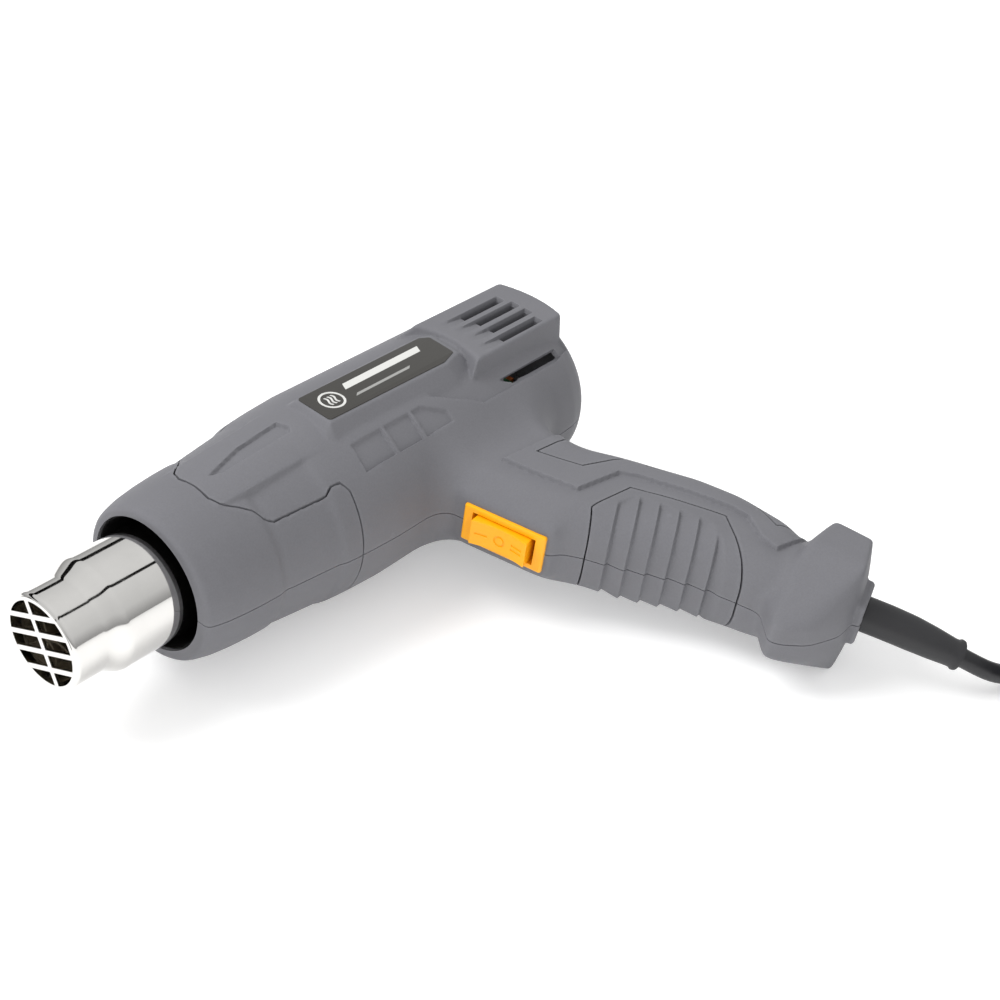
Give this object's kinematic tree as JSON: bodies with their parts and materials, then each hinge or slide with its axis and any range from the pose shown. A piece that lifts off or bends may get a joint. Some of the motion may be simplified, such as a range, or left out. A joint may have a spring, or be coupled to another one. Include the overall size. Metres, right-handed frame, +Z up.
{
  "type": "heat gun",
  "caption": "Mains hot air gun lying on its side: split pistol housing, stepped steel nozzle with a slotted outlet, rocker switch in the handle, blower motor and heater inside, coiled lead.",
  "frame": {"origin": "on the bench, under the centre of the gun's footprint box, without the lead", "axes": "-X points out of the nozzle along the barrel, -Y along the handle, +Z up; the gun lies on its right side, rolled so that barrel and foot both rest"},
  "size_m": [0.381, 0.3535, 0.0786],
  "materials": {
    "body_plastic": "fine spark-eroded texture, matte",
    "cover_plastic": "fine spark-eroded texture, matte",
    "label": "satin printed plate",
    "nozzle_chrome": "bright plated steel",
    "black_steel": "heat-blackened",
    "mica": "mica sheet",
    "resistance_wire": "oxidised resistance wire",
    "ceramic": "fired ceramic, matte",
    "bare_metal": "zinc plated",
    "dark_plastic": "moulded",
    "copper": "enamelled copper",
    "bronze": "sintered bronze or brass",
    "carbon": "pressed carbon",
    "board": "laminate with lacquer",
    "capacitor": "dipped epoxy",
    "switch_yellow": "satin moulded nylon",
    "black_rubber": "moulded, satin",
    "lead_sheath": "smooth rubber sheath",
    "pin_metal": "nickel plated"
  },
  "bodies": {
    "gun": {"housing_left": "body_plastic", "housing_right": "body_plastic", "nose_cover_left": "cover_plastic", "nose_cover_right": "cover_plastic", "grip_pad_left": "cover_plastic", "grip_pad_right": "cover_plastic", "label_left": "label", "label_right": "label", "nozzle_tube": "nozzle_chrome", "heat_shield_ring": "black_steel", "insulation_sleeve": "mica", "heater_former": "mica", "heater_winding": "resistance_wire", "heater_end_disc": "ceramic", "thermal_cutout": "bare_metal", "air_guide": "dark_plastic", "motor_can": "bare_metal", "motor_magnets": "black_steel", "motor_end_cap": "dark_plastic", "front_bush": "bronze", "rear_bush": "bronze", "carbon_brushes": "carbon", "motor_terminals": "bronze", "motor_mount_ring": "black_rubber", "circuit_board": "board", "rectifier_diodes": "dark_plastic", "capacitor": "capacitor", "switch_body": "switch_yellow", "switch_terminals": "bronze", "cord_clamp": "dark_plastic", "clamp_screws": "bare_metal", "housing_screws": "bare_metal", "inner_leads": "lead_sheath", "cord_boot": "black_rubber", "mains_cord": "lead_sheath", "cord_coil": "lead_sheath", "coil_tie": "black_rubber", "plug_lead": "lead_sheath", "plug_body": "black_rubber", "plug_pins": "pin_metal"},
    "rocker": {"switch_rocker": "switch_yellow"},
    "rotor": {"motor_shaft": "bare_metal", "fan": "dark_plastic", "armature": "copper", "commutator": "copper"}
  },
  "joints": [
    {"name": "rocker_tilt", "type": "hinge", "parent": "gun", "child": "rocker", "pos_m": [0.03386, 0.0085, 0.03383], "axis": [0, -0.0872, 0.9962], "range_deg": [-10, 10]},
    {"name": "rotor_spin", "type": "hinge", "parent": "gun", "child": "rotor", "pos_m": [0.059, 0.0715, 0.03934], "axis": [1, 0, 0], "continuous": true}
  ]
}
